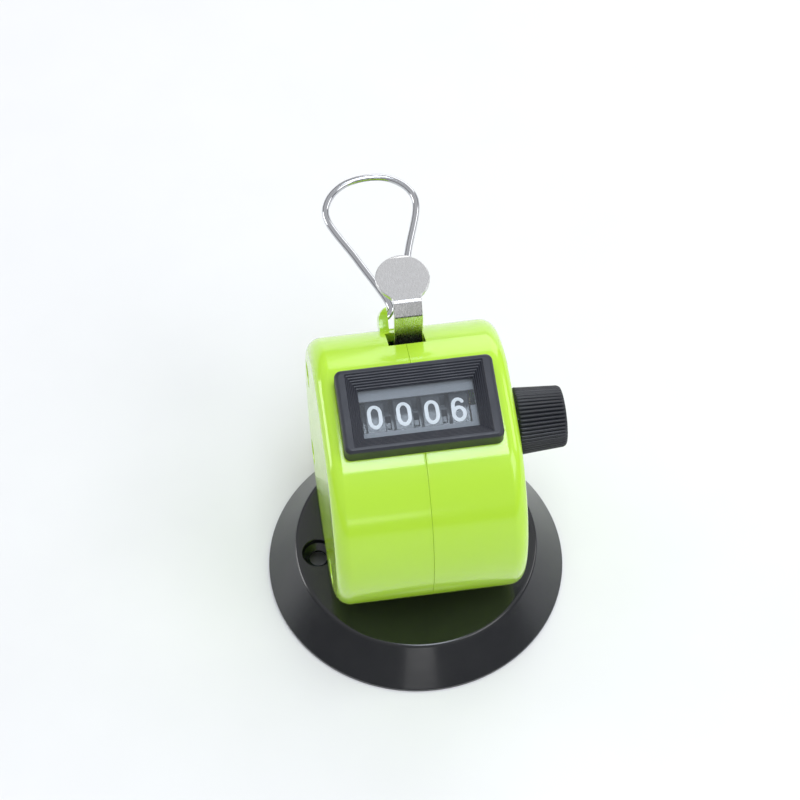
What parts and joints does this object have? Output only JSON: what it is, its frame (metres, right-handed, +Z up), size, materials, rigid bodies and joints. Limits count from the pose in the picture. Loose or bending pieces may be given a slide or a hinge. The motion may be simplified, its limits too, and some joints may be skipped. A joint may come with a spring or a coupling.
{
  "type": "hand tally counter on a desk base",
  "caption": "Tally counter with number wheels behind a window, a thumb lever that adds one, a knob that turns the wheels back, a finger ring and a round desk base.",
  "frame": {"origin": "centre of the base's flat underside", "axes": "+Z up, -Y towards the reader, +X towards the reset knob"},
  "size_m": [0.06, 0.0892, 0.0644],
  "materials": {
    "green_plastic": "glossy moulded ABS",
    "black_plastic": "glossy moulded ABS",
    "slate_plastic": "satin moulded, ribbed slopes",
    "wheel_plastic": "satin with white printed digits",
    "clear_plastic": "clear, polished",
    "steel": "plain",
    "chrome": "nickel-chrome plated",
    "brass": "plain stamped",
    "white_plastic": "natural acetal"
  },
  "bodies": {
    "case": {"base": "black_plastic", "base_screw_1": "steel", "base_screw_2": "steel", "left_shell": "green_plastic", "right_shell": "green_plastic", "shell_screw_1": "steel", "shell_screw_2": "steel", "shell_screw_3": "steel", "window_bezel": "slate_plastic", "window_lens": "clear_plastic", "number_mask": "slate_plastic", "mechanism_frame": "steel", "tie_rod_front": "steel", "tie_rod_rear": "steel", "lever_pivot_pin": "steel", "pinion_shaft": "steel", "friction_washer": "steel", "check_spring": "steel", "return_spring": "steel"},
    "reset": {"reset_shaft": "steel", "reset_knob": "black_plastic", "shaft_clip": "steel"},
    "thousands": {"thousands_wheel": "wheel_plastic"},
    "hundreds": {"hundreds_wheel": "wheel_plastic"},
    "tens": {"tens_wheel": "wheel_plastic"},
    "units": {"units_wheel": "wheel_plastic", "ratchet_wheel": "brass"},
    "pinion_a": {"transfer_pinion_1": "white_plastic"},
    "pinion_b": {"transfer_pinion_2": "white_plastic"},
    "pinion_c": {"transfer_pinion_3": "white_plastic"},
    "lever": {"thumb_lever": "chrome", "pawl_pin": "steel", "pawl_spring": "steel"},
    "pawl": {"feed_pawl": "steel"},
    "ring": {"finger_ring": "chrome"}
  },
  "joints": [
    {"name": "lever_press", "type": "hinge", "parent": "case", "child": "lever", "pos_m": [0, -0.014, 0.044], "axis": [-1, 0, 0], "range_deg": [0, 10], "deforming": ["return_spring"]},
    {"name": "pawl_lift", "type": "hinge", "parent": "lever", "child": "pawl", "pos_m": [0, 0.0095, 0.041], "axis": [-1, 0, 0], "range_deg": [0, 12]},
    {"name": "units_turn", "type": "hinge", "parent": "case", "child": "units", "pos_m": [0, 0.0009, 0.0466], "axis": [-1, 0, 0], "range_deg": [0, 36]},
    {"name": "reset_turn", "type": "hinge", "parent": "case", "child": "reset", "pos_m": [0, 0.0009, 0.0466], "axis": [-1, 0, 0], "continuous": true},
    {"name": "tens_turn", "type": "hinge", "parent": "case", "child": "tens", "pos_m": [0, 0.0009, 0.0466], "axis": [-1, 0, 0], "continuous": true},
    {"name": "hundreds_turn", "type": "hinge", "parent": "case", "child": "hundreds", "pos_m": [0, 0.0009, 0.0466], "axis": [-1, 0, 0], "continuous": true},
    {"name": "thousands_turn", "type": "hinge", "parent": "case", "child": "thousands", "pos_m": [0, 0.0009, 0.0466], "axis": [-1, 0, 0], "continuous": true},
    {"name": "pinion_a_turn", "type": "hinge", "parent": "case", "child": "pinion_a", "pos_m": [0, 0.0009, 0.034], "axis": [-1, 0, 0], "continuous": true},
    {"name": "pinion_b_turn", "type": "hinge", "parent": "case", "child": "pinion_b", "pos_m": [0, 0.0009, 0.034], "axis": [-1, 0, 0], "continuous": true},
    {"name": "pinion_c_turn", "type": "hinge", "parent": "case", "child": "pinion_c", "pos_m": [0, 0.0009, 0.034], "axis": [-1, 0, 0], "continuous": true},
    {"name": "ring_swing", "type": "hinge", "parent": "case", "child": "ring", "pos_m": [0, 0.027, 0.0494], "axis": [1, 0, 0], "range_deg": [-80, 35]}
  ],
  "couplings": [
    {"joint": "units_turn", "follows": "lever_press", "ratio": 3.6},
    {"joint": "tens_turn", "follows": "reset_turn", "ratio": 1},
    {"joint": "hundreds_turn", "follows": "reset_turn", "ratio": 1},
    {"joint": "thousands_turn", "follows": "reset_turn", "ratio": 1},
    {"joint": "pinion_a_turn", "follows": "reset_turn", "ratio": -2.5},
    {"joint": "pinion_b_turn", "follows": "reset_turn", "ratio": -2.5},
    {"joint": "pinion_c_turn", "follows": "reset_turn", "ratio": -2.5}
  ]
}
